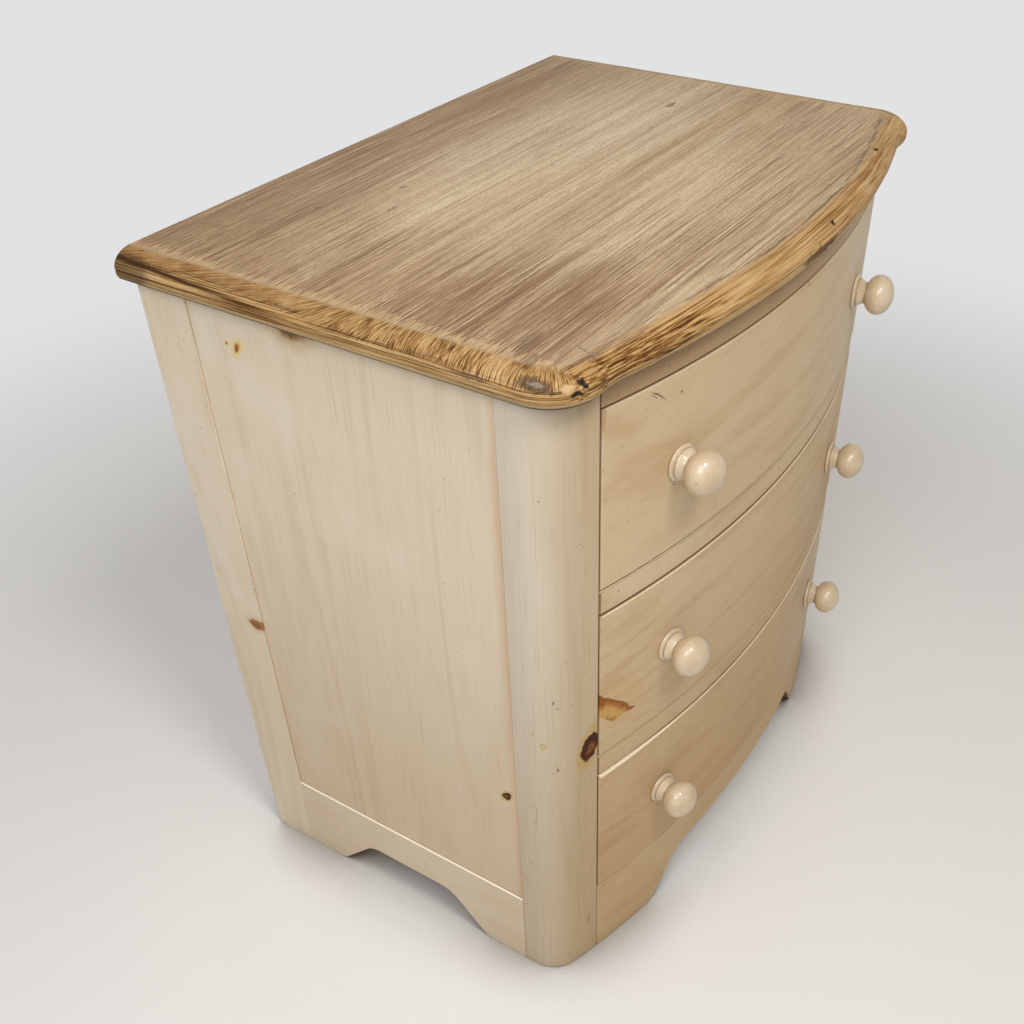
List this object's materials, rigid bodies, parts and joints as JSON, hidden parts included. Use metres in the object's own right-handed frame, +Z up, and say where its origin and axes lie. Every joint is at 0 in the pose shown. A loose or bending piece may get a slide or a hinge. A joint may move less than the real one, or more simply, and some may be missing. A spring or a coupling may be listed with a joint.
{
  "type": "bow-front nightstand",
  "caption": "Bedside cabinet with a bowed front of drawers on wooden runners, turned knobs, rounded front posts and a thick rounded top.",
  "frame": {"origin": "on the floor, under the middle of the bounding box", "axes": "+X to the right of someone facing the drawers, the drawers open along -Y, +Z up"},
  "size_m": [0.566, 0.4075, 0.6],
  "materials": {
    "limed_pine": "limed and waxed, satin",
    "stained_top": "brushed, stained brown and waxed",
    "raw_pine": "planed, bare",
    "plywood": "sanded, bare",
    "knob_lacquer": "ivory lacquer, glossy",
    "steel": "zinc plated"
  },
  "bodies": {
    "case": {"top_panel": "stained_top", "left_front_post": "limed_pine", "left_rear_post": "limed_pine", "left_side_panel": "limed_pine", "left_side_apron": "limed_pine", "left_top_cleat": "raw_pine", "right_front_post": "limed_pine", "right_rear_post": "limed_pine", "right_side_panel": "limed_pine", "right_side_apron": "limed_pine", "right_top_cleat": "raw_pine", "top_front_rail": "limed_pine", "upper_mid_rail": "limed_pine", "lower_mid_rail": "limed_pine", "front_apron": "limed_pine", "back_bottom_rail": "raw_pine", "back_top_rail": "raw_pine", "back_panel": "plywood", "back_panel_pins": "steel", "top_screws": "steel", "bottom_left_runner": "raw_pine", "bottom_right_runner": "raw_pine", "middle_left_runner": "raw_pine", "middle_right_runner": "raw_pine", "top_left_runner": "raw_pine", "top_right_runner": "raw_pine", "drawer_stops": "raw_pine", "glue_blocks": "raw_pine"},
    "top_drawer": {"top_drawer_front": "limed_pine", "top_drawer_left_side": "raw_pine", "top_drawer_right_side": "raw_pine", "top_drawer_back": "raw_pine", "top_drawer_bottom": "plywood", "top_left_knob": "knob_lacquer", "top_right_knob": "knob_lacquer", "top_knob_screws": "steel"},
    "middle_drawer": {"middle_drawer_front": "limed_pine", "middle_drawer_left_side": "raw_pine", "middle_drawer_right_side": "raw_pine", "middle_drawer_back": "raw_pine", "middle_drawer_bottom": "plywood", "middle_left_knob": "knob_lacquer", "middle_right_knob": "knob_lacquer", "middle_knob_screws": "steel"},
    "bottom_drawer": {"bottom_drawer_front": "limed_pine", "bottom_drawer_left_side": "raw_pine", "bottom_drawer_right_side": "raw_pine", "bottom_drawer_back": "raw_pine", "bottom_drawer_bottom": "plywood", "bottom_left_knob": "knob_lacquer", "bottom_right_knob": "knob_lacquer", "bottom_knob_screws": "steel"}
  },
  "joints": [
    {"name": "top_drawer_slide", "type": "slide", "parent": "case", "child": "top_drawer", "axis": [0, -1, 0], "range_m": [0, 0.2]},
    {"name": "middle_drawer_slide", "type": "slide", "parent": "case", "child": "middle_drawer", "axis": [0, -1, 0], "range_m": [0, 0.2]},
    {"name": "bottom_drawer_slide", "type": "slide", "parent": "case", "child": "bottom_drawer", "axis": [0, -1, 0], "range_m": [0, 0.2]}
  ]
}
